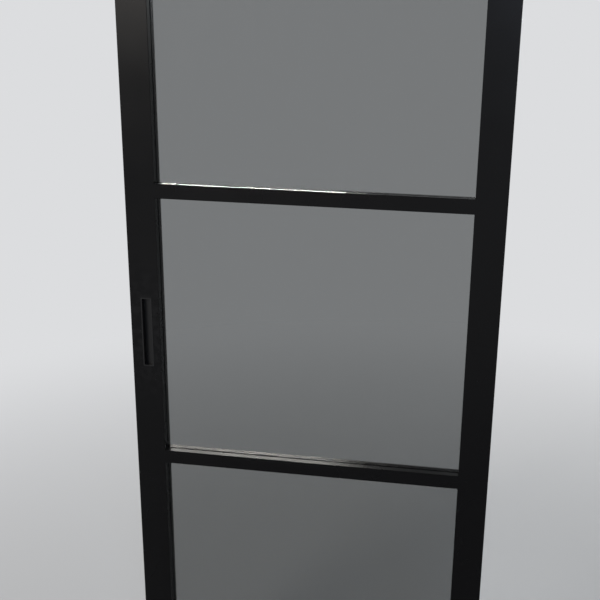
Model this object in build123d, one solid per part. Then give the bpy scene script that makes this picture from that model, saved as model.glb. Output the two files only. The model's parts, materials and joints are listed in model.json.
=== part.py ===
from build123d import *
import os

# Sliding glass door: a lacquered leaf with three panes, hung from a wall-mounted track.
# All lengths are in millimetres. +X runs along the wall to the right, +Y into the wall, +Z up.
# The origin is on the floor, under the middle of the track, in the middle plane of the leaf.
# The leaf is modelled closed, at the left end of its travel.

# Leaf
leaf_width = 830.0
leaf_height = 2015.0
leaf_thickness = 38.0
floor_gap = 8.0
stile_width = 68.0
top_rail_height = 68.0
bottom_rail_height = 83.0
bar_height = 32.0
sight_chamfer = 0.8
edge_round = 1.5

# Tenons that join the rails and the bars to the stiles
tenon_length = 30.0
tenon_clearance = 0.1
tenon_end_gap = 0.5
rail_tenon_thickness = 12.0
rail_tenon_height = 34.0
bar_tenon_thickness = 9.0
bar_tenon_height = 20.0
bar_tenon_cover = 3.0

# Glazing
glass_thickness = 6.0
tape_thickness = 1.0
rebate_width = 12.0
glass_edge_gap = 3.0
bead_clearance = 0.1
setting_block_length = 60.0
setting_block_inset = 120.0
setting_block_margin = 0.5

# Flush pulls, one on each face of the left stile
pull_height = 164.0
pull_width = 26.0
pull_rim = 3.0
pull_rim_thickness = 1.0
pull_rim_chamfer = 0.5
pull_wall = 1.5
pull_depth = 12.0
pull_corner = 3.0
pull_inner_corner = 2.0
pull_centre_height = 1015.0
pull_centre_inset = 38.0
pull_fit = 0.15

# Groove under the leaf, and the floor guide in it
groove_width = 9.0
groove_depth = 20.0
guide_side_gap = 0.4
guide_top_gap = 6.0
guide_fin_length = 28.0
guide_plate_length = 68.0
guide_plate_width = 34.0
guide_plate_thickness = 4.0
guide_plate_corner = 4.0
guide_inset = 25.0
guide_hole_pitch = 50.0
guide_hole_radius = 2.5
guide_sink_radius = 4.6

# Track rail
track_gap = 14.0
track_overhang = 20.0
track_wall = 3.0
channel_width = 30.0
channel_height = 30.0
channel_slot = 12.0
channel_corner = 1.0
running_rib_width = 5.0
running_rib_height = 0.8
wall_gap = 11.0
wall_flange_rise = 34.0
wall_flange_drop = 21.0
wall_hole_pitch = 320.0
wall_hole_count = 6
wall_hole_radius = 2.75
wall_hole_height = 17.0

# Fascia and end caps
fascia_gap = 9.0
fascia_wall = 2.0
fascia_overlap = 5.0
fascia_round = 1.5
tongue_reach = 6.0
fascia_rib_reach = 7.0
cap_thickness = 2.0
cap_plug_length = 10.0
cap_plug_wall = 3.0
cap_plug_clearance = 0.3

# End stops and buffers
pull_clear_of_jamb = 55.0
stop_length = 26.0
stop_height = 20.0
stop_chamfer = 1.0
stop_clearance = 0.3
stop_screw_radius = 3.0
stop_screw_fit = 0.1
stop_screw_inset = 17.0
buffer_thickness = 8.0
buffer_radius = 7.5
buffer_chamfer = 0.7
buffer_stem_radius = 3.0
buffer_stem_length = 8.0
buffer_stem_fit = 0.1
buffer_stem_end_gap = 0.3
buffer_gap = 0.3

# Carriages, wheels and axles
hanger_inset = 100.0
wheel_radius = 12.0
wheel_width = 7.0
wheel_spacing_across = 13.0
wheel_chamfer = 0.7
wheel_dish_depth = 1.2
wheel_dish_inner = 5.6
wheel_dish_outer = 9.6
wheel_to_track = 0.2
axle_spacing = 42.0
axle_radius = 3.0
axle_fit = 0.05
axle_head_radius = 4.6
axle_head_thickness = 0.9
axle_head_chamfer = 0.45
axle_side_play = 0.25
carriage_length = 74.0
carriage_height = 16.0
carriage_width = 22.0
carriage_boss_length = 17.0
carriage_end_thickness = 2.6
carriage_spine = 8.0
carriage_corner = 1.0

# Hanger bracket, bolt and lock nut
bolt_radius = 4.0
bolt_fit = 0.1
bolt_head_radius = 6.5
bolt_head_height = 5.0
bolt_socket_flats = 5.0
bolt_socket_depth = 3.0
bolt_tip_chamfer = 0.8
nut_flats = 13.0
nut_height = 6.5
nut_face_inset = 0.3
nut_corner_drop = 0.75
nut_bore_chamfer = 0.5
bracket_length = 110.0
bracket_width = 28.0
bracket_plate = 4.0
bracket_corner = 4.0
bracket_boss_radius = 8.0
bracket_boss_depth = 12.0
bracket_boss_fit = 0.3
bracket_hole_radius = 2.5
bracket_hole_inner = 24.0
bracket_hole_outer = 44.0
bracket_sink_radius = 4.6

# Levels and places that follow from the sizes above
pane_names = ("lower", "middle", "upper")
front = -leaf_thickness / 2
back = leaf_thickness / 2
leaf_left = -leaf_width
leaf_right = 0.0
leaf_bottom = floor_gap
leaf_top = leaf_bottom + leaf_height
sight_left = leaf_left + stile_width
sight_right = leaf_right - stile_width
bar_count = len(pane_names) - 1
pane_height = (leaf_height - top_rail_height - bottom_rail_height - bar_count * bar_height) / len(pane_names)
glass_cover = rebate_width - glass_edge_gap
tape_front = -glass_thickness / 2 - tape_thickness
tape_back = glass_thickness / 2 + tape_thickness
travel = leaf_width - pull_clear_of_jamb
groove_top = leaf_bottom + groove_depth

track_half = leaf_width + track_overhang
track_bottom = leaf_top + track_gap
channel_floor = track_bottom + track_wall
running_surface = channel_floor + running_rib_height
channel_roof = channel_floor + channel_height
track_top = channel_roof + track_wall
wall_face = back + wall_gap
flange_front = wall_face - track_wall
flange_top = track_top + wall_flange_rise
fascia_front = front - fascia_gap - fascia_wall
fascia_top = flange_top + fascia_wall
fascia_bottom = leaf_top - fascia_overlap
wheel_inner = wheel_spacing_across / 2
wheel_outer = wheel_inner + wheel_width
axle_height = running_surface + wheel_to_track + wheel_radius
carriage_top = axle_height + carriage_height / 2
carriage_bottom = axle_height - carriage_height / 2
hanger_places = {"left": leaf_left + hanger_inset, "right": leaf_right - hanger_inset}

# The face of each buffer, which the carriage all but touches at that end of the travel
buffer_faces = {
    "left": hanger_places["left"] - carriage_length / 2 - buffer_gap,
    "right": hanger_places["right"] + travel + carriage_length / 2 + buffer_gap,
}


def pane_bottom(index):
    """Height of the lower sight line of one pane, counted from the lowest."""
    return leaf_bottom + bottom_rail_height + index * (pane_height + bar_height)


def block(x0, x1, y0, y1, z0, z1):
    """A box between two corners."""
    return Pos((x0 + x1) / 2, (y0 + y1) / 2, (z0 + z1) / 2) * Box(x1 - x0, y1 - y0, z1 - z0)


def plate_up(x, y, z, length, width, height, corner):
    """A plate with round corners, lying flat, grown upwards from z."""
    outline = Pos(x, y) * RectangleRounded(length, width, corner)
    return extrude(Plane.XY.offset(z) * outline, height)


def bar_along_x(section, x0, x1):
    """A straight bar with a section drawn in Y and Z."""
    return extrude(Plane.YZ.offset(x0) * section, x1 - x0)


def rod(radius, start, end):
    """A round rod from one point to another."""
    start, end = Vector(*start), Vector(*end)
    line = end - start
    return Solid.make_cylinder(radius, line.length, Plane(origin=start, z_dir=line))


def ring_round_y(profile, x, z):
    """A turned part round an axis along Y, from a profile in radius and Y."""
    turned = revolve(make_face(Polyline(*profile, close=True)), Axis.Y, 360)
    return Pos(x, 0, z) * turned


def face_plane(face, x, z):
    """A plane on the front or the back face of the leaf, looking out of the leaf."""
    if face == "front":
        return Plane(origin=(x, front, z), x_dir=(1, 0, 0), z_dir=(0, -1, 0))
    return Plane(origin=(x, back, z), x_dir=(-1, 0, 0), z_dir=(0, 1, 0))


def opening_tool(index):
    """What the glazed opening takes out of the frame, with its broken front and back edges."""
    width = sight_right - sight_left
    bottom = pane_bottom(index)
    tool = block(sight_left, sight_right, front, back, bottom, bottom + pane_height)
    for face in ("front", "back"):
        plane = face_plane(face, (sight_left + sight_right) / 2, bottom + pane_height / 2)
        wide = plane * Rectangle(width + 2 * sight_chamfer, pane_height + 2 * sight_chamfer)
        narrow = plane.offset(-sight_chamfer) * Rectangle(width, pane_height)
        tool += loft([wide, narrow])
    return tool


def rebate_tool(index):
    """The rebate routed from the back, which takes the glass and its beads."""
    return block(
        sight_left - rebate_width, sight_right + rebate_width, tape_front, back,
        pane_bottom(index) - rebate_width, pane_bottom(index) + pane_height + rebate_width,
    )


opening_tools = [opening_tool(i) for i in range(len(pane_names))]
rebate_tools = [rebate_tool(i) for i in range(len(pane_names))]
glazing_cuts = opening_tools + rebate_tools

# The guide groove runs the whole width of the leaf.
groove_tool = block(leaf_left, leaf_right, -groove_width / 2, groove_width / 2, leaf_bottom, groove_top)


def tenon(side, height, thickness, middle_y, middle_z, grow, end_gap):
    """A tenon on the left or the right end of a rail or bar, or its mortise if it grows."""
    root, tip = sight_left, sight_left - tenon_length - end_gap
    if side == "right":
        root, tip = sight_right, sight_right + tenon_length + end_gap
    return block(
        min(root, tip), max(root, tip),
        middle_y - thickness / 2 - grow, middle_y + thickness / 2 + grow,
        middle_z - height / 2 - grow, middle_z + height / 2 + grow,
    )


top_tenon_z = (leaf_top - top_rail_height + rebate_width + leaf_top) / 2
bottom_tenon_z = (groove_top + leaf_bottom + bottom_rail_height - rebate_width) / 2
bar_tenon_y = front + bar_tenon_cover + bar_tenon_thickness / 2
bar_middles = [pane_bottom(i + 1) - bar_height / 2 for i in range(bar_count)]


def member_tenons(side, grow=0.0, end_gap=0.0):
    """The four tenons at one stile, or the four mortises for them."""
    rails = [
        tenon(side, rail_tenon_height, rail_tenon_thickness, 0.0, z, grow, end_gap)
        for z in (bottom_tenon_z, top_tenon_z)
    ]
    bars = [
        tenon(side, bar_tenon_height, bar_tenon_thickness, bar_tenon_y, z, grow, end_gap)
        for z in bar_middles
    ]
    return {"rail_bottom": rails[0], "bar_lower": bars[0], "bar_upper": bars[1], "rail_top": rails[1]}


def pull_place(face):
    """The plane of a pull on one face of the left stile."""
    return face_plane(face, leaf_left + pull_centre_inset, pull_centre_height)


cup_width = pull_width - 2 * pull_rim + 2 * pull_wall
cup_height = pull_height - 2 * pull_rim + 2 * pull_wall
cup_depth = pull_depth + pull_wall


def pull_pocket(face):
    """The pocket in the stile that takes the cup of a pull."""
    outline = RectangleRounded(cup_width + 2 * pull_fit, cup_height + 2 * pull_fit, pull_corner + pull_fit)
    return extrude(pull_place(face) * outline, -(cup_depth + pull_fit))


def make_pull(face):
    """A flush pull: a thin rim on the face of the stile and a cup sunk into it."""
    place = pull_place(face)
    rim = extrude(place * RectangleRounded(pull_width, pull_height, pull_corner), pull_rim_thickness)
    outer_face = rim.faces().sort_by(Axis((0, 0, 0), place.z_dir))[-1]
    rim = chamfer(outer_face.edges(), pull_rim_chamfer)
    cup = extrude(place * RectangleRounded(cup_width, cup_height, pull_corner), -cup_depth)
    hollow_outline = RectangleRounded(
        cup_width - 2 * pull_wall, cup_height - 2 * pull_wall, pull_inner_corner,
    )
    hollow = extrude(place.offset(-pull_depth) * hollow_outline, pull_depth + pull_rim_thickness)
    return rim + cup - hollow


def make_stile(side):
    """A full-height stile with its mortises, rebates and the end of the guide groove."""
    x0, x1 = (leaf_left, sight_left) if side == "left" else (sight_right, leaf_right)
    stile = block(x0, x1, front, back, leaf_bottom, leaf_top)
    upright_edges = stile.edges().filter_by(Axis.Z).group_by(Axis.X)
    stile = fillet(upright_edges[0 if side == "left" else -1], edge_round)
    for cut in glazing_cuts + [groove_tool]:
        stile -= cut
    for mortise in member_tenons(side, tenon_clearance, tenon_end_gap).values():
        stile -= mortise
    if side == "left":
        for face in ("front", "back"):
            stile -= pull_pocket(face)
    return stile


def make_cross_member(name, z0, z1):
    """A rail or a bar between the stiles, with its two tenons."""
    member = block(sight_left, sight_right, front, back, z0, z1)
    for cut in glazing_cuts:
        member -= cut
    for side in ("left", "right"):
        member += member_tenons(side)[name]
    return member


def make_top_rail():
    """The top rail, bored for the bosses of the hanger brackets."""
    rail = make_cross_member("rail_top", leaf_top - top_rail_height, leaf_top)
    for x in hanger_places.values():
        bottom = leaf_top - bracket_boss_depth - bracket_boss_fit
        rail -= rod(bracket_boss_radius + bracket_boss_fit, (x, 0, bottom), (x, 0, leaf_top))
    return rail


def make_bottom_rail():
    """The bottom rail with the guide groove."""
    rail = make_cross_member("rail_bottom", leaf_bottom, leaf_bottom + bottom_rail_height)
    return rail - groove_tool


def make_pane(index):
    """A pane of glass, held in the rebate with a gap all round its edge."""
    return block(
        sight_left - glass_cover, sight_right + glass_cover, -glass_thickness / 2, glass_thickness / 2,
        pane_bottom(index) - glass_cover, pane_bottom(index) + pane_height + glass_cover,
    )


def make_tape(index, y0, y1):
    """A ring of glazing tape on the edge of a pane, flush with the sight line."""
    z0, z1 = pane_bottom(index), pane_bottom(index) + pane_height
    ring = block(
        sight_left - glass_cover, sight_right + glass_cover, y0, y1, z0 - glass_cover, z1 + glass_cover,
    )
    return ring - block(sight_left, sight_right, y0, y1, z0, z1)


def bead_outline(index, side):
    """The outline of a bead in X and Z: a long side in the rebate, a short one on the sight line."""
    z0, z1 = pane_bottom(index), pane_bottom(index) + pane_height
    reach = rebate_width - bead_clearance
    mitre = reach - bead_clearance
    if side in ("bottom", "top"):
        short_z, long_z = z0, z0 - reach
        if side == "top":
            short_z, long_z = z1, z1 + reach
        return [
            (sight_left - mitre, long_z), (sight_right + mitre, long_z),
            (sight_right - bead_clearance, short_z), (sight_left + bead_clearance, short_z),
        ]
    short_x, long_x = sight_left, sight_left - reach
    if side == "right":
        short_x, long_x = sight_right, sight_right + reach
    return [
        (long_x, z0 - mitre), (long_x, z1 + mitre),
        (short_x, z1 - bead_clearance), (short_x, z0 + bead_clearance),
    ]


def make_bead(index, side):
    """A glazing bead with mitred ends, between the tape and the back face."""
    outline = make_face(Polyline(*bead_outline(index, side), close=True))
    bead = extrude(Plane.XZ.offset(-back) * outline, back - tape_back)
    return bead - opening_tools[index]


def make_setting_blocks():
    """Two small blocks under each pane, which carry its weight."""
    blocks = []
    half = tape_back - setting_block_margin
    for index in range(len(pane_names)):
        floor = pane_bottom(index) - rebate_width
        for middle in (sight_left + setting_block_inset, sight_right - setting_block_inset):
            blocks.append(block(
                middle - setting_block_length / 2, middle + setting_block_length / 2,
                -half, half, floor, floor + glass_edge_gap,
            ))
    return Compound(children=blocks)


def make_track_rail():
    """The extruded track: a slotted channel with two running ribs, and a flange for the wall screws."""
    half = channel_width / 2 + track_wall
    inner = channel_width / 2
    slot = channel_slot / 2
    flange_foot = track_top - wall_flange_drop
    channel = [
        (-slot, track_bottom), (-half, track_bottom), (-half, channel_roof),
        (-half - tongue_reach, channel_roof), (-half - tongue_reach, track_top), (flange_front, track_top),
        (flange_front, flange_top), (wall_face, flange_top), (wall_face, flange_foot),
        (flange_front, flange_foot), (flange_front, channel_roof), (half, channel_roof),
        (half, track_bottom), (slot, track_bottom), (slot, channel_floor), (inner, channel_floor),
        (inner, channel_roof), (-inner, channel_roof), (-inner, channel_floor), (-slot, channel_floor),
    ]
    section = make_face(Polyline(*channel, close=True))
    lower_corners = [section.vertices().sort_by_distance((y, track_bottom))[0] for y in (-half, half)]
    section = fillet(lower_corners, channel_corner)
    for rib_y in (-(wheel_inner + wheel_outer) / 2, (wheel_inner + wheel_outer) / 2):
        rib_z = channel_floor + running_rib_height / 2
        section += Pos(rib_y, rib_z) * Rectangle(running_rib_width, running_rib_height)
    rail = bar_along_x(section, -track_half, track_half)
    for index in range(wall_hole_count):
        x = (index - (wall_hole_count - 1) / 2) * wall_hole_pitch
        z = track_top + wall_hole_height
        rail -= rod(wall_hole_radius, (x, flange_front, z), (x, wall_face, z))
    return rail


def make_fascia():
    """The cover that hides the track: a front, a top that rests on the flange, and a rib on the tongue."""
    inner = fascia_front + fascia_wall
    rib_end = inner + fascia_rib_reach
    outline = [
        (fascia_front, fascia_bottom), (inner, fascia_bottom), (inner, track_top), (rib_end, track_top),
        (rib_end, track_top + fascia_wall), (inner, track_top + fascia_wall), (inner, flange_top),
        (wall_face, flange_top), (wall_face, fascia_top), (fascia_front, fascia_top),
    ]
    section = make_face(Polyline(*outline, close=True))
    outer_corner = section.vertices().sort_by_distance((fascia_front, fascia_top))[0]
    section = fillet(outer_corner, fascia_round)
    return bar_along_x(section, -track_half, track_half)


def make_end_cap(side):
    """A plate that closes one end of the track and fascia, with a hollow plug in the channel."""
    sign = -1 if side == "left" else 1
    outline = Pos((fascia_front + wall_face) / 2, (fascia_bottom + fascia_top) / 2) * Rectangle(
        wall_face - fascia_front, fascia_top - fascia_bottom,
    )
    outer_corner = outline.vertices().sort_by_distance((fascia_front, fascia_top))[0]
    outline = fillet(outer_corner, fascia_round)
    plate_ends = sorted((sign * track_half, sign * (track_half + cap_thickness)))
    plate = bar_along_x(outline, *plate_ends)
    plug_width = channel_width - 2 * cap_plug_clearance
    plug_height = channel_roof - running_surface - 2 * cap_plug_clearance
    room = Rectangle(plug_width - 2 * cap_plug_wall, plug_height - 2 * cap_plug_wall)
    plug = Rectangle(plug_width, plug_height) - room
    plug_ends = sorted((sign * track_half, sign * (track_half - cap_plug_length)))
    return plate + bar_along_x(Pos(0, (running_surface + channel_roof) / 2) * plug, *plug_ends)


def make_stop(side):
    """A block in the channel: a key in the slot, a hole for the buffer's stem, one for a jack screw."""
    sign = -1 if side == "left" else 1
    near = buffer_faces[side] + sign * buffer_thickness
    x0, x1 = sorted((near, near + sign * stop_length))
    half = channel_width / 2 - stop_clearance
    key = channel_slot / 2 - stop_clearance
    body = block(x0, x1, -half, half, running_surface, running_surface + stop_height)
    body = chamfer(body.edges().filter_by(Axis.X).group_by(Axis.Z)[-1], stop_chamfer)
    body += block(x0, x1, -key, key, track_bottom, running_surface)
    bore_end = near + sign * (buffer_stem_length + buffer_stem_end_gap)
    bore_radius = buffer_stem_radius + buffer_stem_fit
    body -= rod(bore_radius, (near, 0, axle_height), (bore_end, 0, axle_height))
    screw_x = near + sign * stop_screw_inset
    screw_top = running_surface + stop_height
    return body - rod(stop_screw_radius + stop_screw_fit, (screw_x, 0, track_bottom), (screw_x, 0, screw_top))


def make_buffer(side):
    """A rubber buffer: a round pad with a stem that sits in the stop."""
    sign = -1 if side == "left" else 1
    face = buffer_faces[side]
    seat = face + sign * buffer_thickness
    pad = rod(buffer_radius, (face, 0, axle_height), (seat, 0, axle_height))
    struck_face = pad.faces().sort_by(Axis.X)[0 if side == "right" else -1]
    pad = chamfer(struck_face.edges(), buffer_chamfer)
    tip = seat + sign * buffer_stem_length
    return pad + rod(buffer_stem_radius, (seat, 0, axle_height), (tip, 0, axle_height))


def make_carriage(x):
    """A cast carriage: a spine between the wheels, a boss for the bolt and a plate at each end."""
    z0, z1 = carriage_bottom, carriage_top
    half_length = carriage_length / 2
    half_width = carriage_width / 2
    body = block(x - half_length, x + half_length, -carriage_spine / 2, carriage_spine / 2, z0, z1)
    boss = block(x - carriage_boss_length / 2, x + carriage_boss_length / 2, -half_width, half_width, z0, z1)
    body += fillet(boss.edges().filter_by(Axis.Z), carriage_corner)
    for sign in (-1, 1):
        x0, x1 = sorted((x + sign * half_length, x + sign * (half_length - carriage_end_thickness)))
        end = block(x0, x1, -half_width, half_width, z0, z1)
        body += fillet(end.edges().filter_by(Axis.X), carriage_corner)
        axle_x = x + sign * axle_spacing / 2
        shoulder = wheel_inner - axle_side_play
        bore = axle_radius + axle_fit
        body += rod(axle_head_radius, (axle_x, -shoulder, axle_height), (axle_x, shoulder, axle_height))
        body -= rod(bore, (axle_x, -shoulder, axle_height), (axle_x, shoulder, axle_height))
    return body - rod(bolt_radius + bolt_fit, (x, 0, z0), (x, 0, z1))


def make_wheel(x, sign):
    """A moulded wheel on one side of a carriage, dished on its outer side."""
    bore = axle_radius + axle_fit
    rim = wheel_radius - wheel_chamfer
    dish_floor = wheel_outer - wheel_dish_depth
    profile = [
        (bore, wheel_inner), (rim, wheel_inner), (wheel_radius, wheel_inner + wheel_chamfer),
        (wheel_radius, wheel_outer - wheel_chamfer), (rim, wheel_outer), (wheel_dish_outer, wheel_outer),
        (wheel_dish_outer - wheel_dish_depth, dish_floor), (wheel_dish_inner + wheel_dish_depth, dish_floor),
        (wheel_dish_inner, wheel_outer), (bore, wheel_outer),
    ]
    return ring_round_y([(r, sign * y) for r, y in profile], x, axle_height)


def make_axle(x):
    """A riveted pin with a head at each end, which carries one pair of wheels."""
    head = wheel_outer + axle_side_play
    tip = head + axle_head_thickness
    tip_radius = axle_head_radius - axle_head_chamfer
    profile = [
        (0, -tip), (tip_radius, -tip), (axle_head_radius, -head), (axle_radius, -head),
        (axle_radius, head), (axle_head_radius, head), (tip_radius, tip), (0, tip),
    ]
    return ring_round_y(profile, x, axle_height)


def make_hanger_bolt(x):
    """The bolt that hangs the leaf: its head on the carriage, its end in the bracket's boss."""
    tip = leaf_top - bracket_boss_depth
    bolt = rod(bolt_radius, (x, 0, tip), (x, 0, carriage_top))
    bolt = chamfer(bolt.faces().sort_by(Axis.Z)[0].edges(), bolt_tip_chamfer)
    head = rod(bolt_head_radius, (x, 0, carriage_top), (x, 0, carriage_top + bolt_head_height))
    socket = RegularPolygon(radius=bolt_socket_flats / 2, side_count=6, major_radius=False)
    top = Plane.XY.offset(carriage_top + bolt_head_height - bolt_socket_depth)
    return bolt + head - extrude(top * Pos(x, 0) * socket, bolt_socket_depth)


def make_lock_nut(x):
    """The nut that locks the bolt on the bracket's plate, with its corners turned off at both faces."""
    bore = bolt_radius + bolt_fit
    face = nut_flats / 2 - nut_face_inset
    corner = nut_flats / 3 ** 0.5
    profile = [
        (bore + nut_bore_chamfer, 0), (face, 0), (corner, nut_corner_drop),
        (corner, nut_height - nut_corner_drop), (face, nut_height), (bore + nut_bore_chamfer, nut_height),
        (bore, nut_height - nut_bore_chamfer), (bore, nut_bore_chamfer),
    ]
    turned = revolve(Plane.XZ * make_face(Polyline(*profile, close=True)), Axis.Z, 360)
    hexagon = RegularPolygon(radius=nut_flats / 2, side_count=6, major_radius=False)
    return Pos(x, 0, leaf_top + bracket_plate) * (extrude(hexagon, nut_height) & turned)


def make_hanger_bracket(x):
    """A plate on top of the leaf, with a tapped boss sunk into the rail and four screw holes."""
    plate = plate_up(x, 0, leaf_top, bracket_length, bracket_width, bracket_plate, bracket_corner)
    plate += rod(bracket_boss_radius, (x, 0, leaf_top - bracket_boss_depth), (x, 0, leaf_top))
    top = leaf_top + bracket_plate
    plate -= rod(bolt_radius + bolt_fit, (x, 0, leaf_top - bracket_boss_depth), (x, 0, top))
    for distance in (-bracket_hole_outer, -bracket_hole_inner, bracket_hole_inner, bracket_hole_outer):
        plate -= sunk_hole(x + distance, top, bracket_plate, bracket_hole_radius, bracket_sink_radius)
    return plate


def sunk_hole(x, top, depth, radius, sink_radius):
    """A countersunk screw hole from above, on the middle plane of the leaf."""
    through = rod(radius, (x, 0, top - depth), (x, 0, top))
    sink_depth = sink_radius - radius
    sink = Pos(x, 0, top - sink_depth / 2) * Cone(radius, sink_radius, sink_depth)
    return through + sink


def make_floor_guide():
    """A moulded guide: a plate screwed to the floor and a fin with round ends in the groove."""
    x = leaf_right - guide_inset
    guide = plate_up(
        x, 0, 0, guide_plate_length, guide_plate_width, guide_plate_thickness, guide_plate_corner,
    )
    fin = Pos(x, 0) * SlotOverall(guide_fin_length, groove_width - 2 * guide_side_gap)
    fin_top = groove_top - guide_top_gap
    guide += extrude(Plane.XY.offset(guide_plate_thickness) * fin, fin_top - guide_plate_thickness)
    for sign in (-1, 1):
        guide -= sunk_hole(
            x + sign * guide_hole_pitch / 2, guide_plate_thickness, guide_plate_thickness,
            guide_hole_radius, guide_sink_radius,
        )
    return guide


def build_leaf():
    """The frame of the leaf, its glazing and its pulls."""
    nodes = {
        "stile_left": make_stile("left"),
        "stile_right": make_stile("right"),
        "rail_top": make_top_rail(),
        "rail_bottom": make_bottom_rail(),
        "setting_blocks": make_setting_blocks(),
        "pull_front": make_pull("front"),
        "pull_back": make_pull("back"),
    }
    for name, middle in zip(("bar_lower", "bar_upper"), bar_middles):
        nodes[name] = make_cross_member(name, middle - bar_height / 2, middle + bar_height / 2)
    for index, name in enumerate(pane_names):
        nodes[f"pane_{name}"] = make_pane(index)
        nodes[f"tape_front_{name}"] = make_tape(index, tape_front, -glass_thickness / 2)
        nodes[f"tape_back_{name}"] = make_tape(index, glass_thickness / 2, tape_back)
        for side in ("bottom", "top", "left", "right"):
            nodes[f"bead_{name}_{side}"] = make_bead(index, side)
    return nodes


def build_hangers():
    """The two hangers, each with its bracket, bolt, nut, carriage, axles and wheels."""
    nodes = {}
    for side, x in hanger_places.items():
        nodes[f"hanger_bracket_{side}"] = make_hanger_bracket(x)
        nodes[f"hanger_bolt_{side}"] = make_hanger_bolt(x)
        nodes[f"lock_nut_{side}"] = make_lock_nut(x)
        nodes[f"carriage_{side}"] = make_carriage(x)
        for order, sign in (("outer", -1), ("inner", 1)):
            axle_x = x + sign * axle_spacing / 2
            nodes[f"axle_{side}_{order}"] = make_axle(axle_x)
            nodes[f"wheel_{side}_{order}_front"] = make_wheel(axle_x, -1)
            nodes[f"wheel_{side}_{order}_back"] = make_wheel(axle_x, 1)
    return nodes


def build_track():
    """What is fixed to the wall and the floor."""
    nodes = {
        "track_rail": make_track_rail(),
        "fascia": make_fascia(),
        "floor_guide": make_floor_guide(),
    }
    for side in ("left", "right"):
        nodes[f"end_cap_{side}"] = make_end_cap(side)
        nodes[f"end_stop_{side}"] = make_stop(side)
        nodes[f"buffer_{side}"] = make_buffer(side)
    return nodes


def main():
    """Builds every piece and writes one file for each."""
    os.makedirs("parts", exist_ok=True)
    nodes = {**build_leaf(), **build_hangers(), **build_track()}
    for name, shape in nodes.items():
        export_step(shape, f"parts/{name}.step")
    print(len(nodes), "nodes, pane height", round(pane_height, 2), "travel", travel)


main()
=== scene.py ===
"""Looks of a sliding glass door: its finishes, its small fasteners, the studio and the camera."""

import json
import logging
import math
from dataclasses import dataclass
from enum import Enum

import bmesh
import bpy
from mathutils import Matrix, Vector

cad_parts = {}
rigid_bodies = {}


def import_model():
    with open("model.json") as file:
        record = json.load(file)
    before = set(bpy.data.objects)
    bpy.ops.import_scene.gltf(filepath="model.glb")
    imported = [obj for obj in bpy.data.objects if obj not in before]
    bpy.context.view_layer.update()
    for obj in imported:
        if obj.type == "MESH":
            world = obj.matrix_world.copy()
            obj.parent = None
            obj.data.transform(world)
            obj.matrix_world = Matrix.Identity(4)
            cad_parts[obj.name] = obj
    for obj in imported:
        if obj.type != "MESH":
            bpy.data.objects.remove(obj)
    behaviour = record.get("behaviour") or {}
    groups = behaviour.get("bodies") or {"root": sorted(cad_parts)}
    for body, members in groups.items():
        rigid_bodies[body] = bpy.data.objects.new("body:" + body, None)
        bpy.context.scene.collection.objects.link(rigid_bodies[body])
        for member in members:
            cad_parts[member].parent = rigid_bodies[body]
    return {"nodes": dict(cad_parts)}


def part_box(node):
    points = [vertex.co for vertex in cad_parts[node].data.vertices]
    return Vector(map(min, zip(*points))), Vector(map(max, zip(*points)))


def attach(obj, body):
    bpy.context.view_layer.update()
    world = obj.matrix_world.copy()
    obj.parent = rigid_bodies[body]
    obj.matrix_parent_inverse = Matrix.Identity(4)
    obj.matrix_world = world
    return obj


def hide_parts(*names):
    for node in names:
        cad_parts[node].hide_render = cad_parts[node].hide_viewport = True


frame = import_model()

logging.basicConfig(level=logging.INFO, format="%(message)s")
log = logging.getLogger("door")

MM = 0.001
IMAGE_SIDE = 600
SENSOR_MM = 36.0
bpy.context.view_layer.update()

# Most values of a noise texture lie between these two.
NOISE_LOW = 0.3
NOISE_HIGH = 0.7

# The sockets of a Mix node for colours, which go by number.
MIX_FACTOR = 0
MIX_FIRST = 6
MIX_SECOND = 7
MIX_RESULT = 2

# Points nearer than this, in metres, become one: on a thread, and in the room.
THREAD_MERGE = 1e-6
ROOM_MERGE = 1e-5

# A point nearer than this to a cutting plane, in metres, lies on it.
CUT_MARGIN = 1e-7

# Faces that meet at more than this keep a sharp edge between them.
SHARP_ANGLE = math.radians(32)

# How deep the hollows of a six-lobe recess are, as a share of its radius.
SIX_LOBE_DEPTH = 0.14

# How the names of the lacquered nodes start.
LACQUERED = ("stile_", "rail_", "bar_", "bead_")

ROOM = "studio_room"


class Member(Enum):
    """The bodies that an added piece can move with."""

    TRACK = "track"
    LEAF = "leaf"


class Outline(Enum):
    """The outline of one ring of a turned, pressed or broached fastener."""

    ROUND = "round"
    HEXAGON = "hexagon"
    SIX_LOBE = "six_lobe"

    def reach(self, angle: float) -> float:
        """How far the outline lies from its middle at an angle, as a share of its widest radius."""
        if self is Outline.HEXAGON:
            return math.cos(math.pi / 6) / math.cos(angle % (math.pi / 3) - math.pi / 6)
        if self is Outline.SIX_LOBE:
            return 1 - SIX_LOBE_DEPTH + SIX_LOBE_DEPTH * math.cos(6 * angle)
        return 1.0


def linear(code: str) -> tuple[float, float, float, float]:
    """Turns an sRGB hex colour into linear light.

    Args:
        code: The colour as "#rrggbb".

    Returns:
        Red, green, blue and an alpha of one.
    """
    parts = [int(code[i:i + 2], 16) / 255 for i in (1, 3, 5)]
    light = [c / 12.92 if c <= 0.04045 else ((c + 0.055) / 1.055) ** 2.4 for c in parts]
    return (*light, 1.0)


def per_mm(size_mm: float) -> float:
    """The scale of a texture whose marks are a size in millimetres apart."""
    return 1 / (size_mm * MM)


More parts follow.
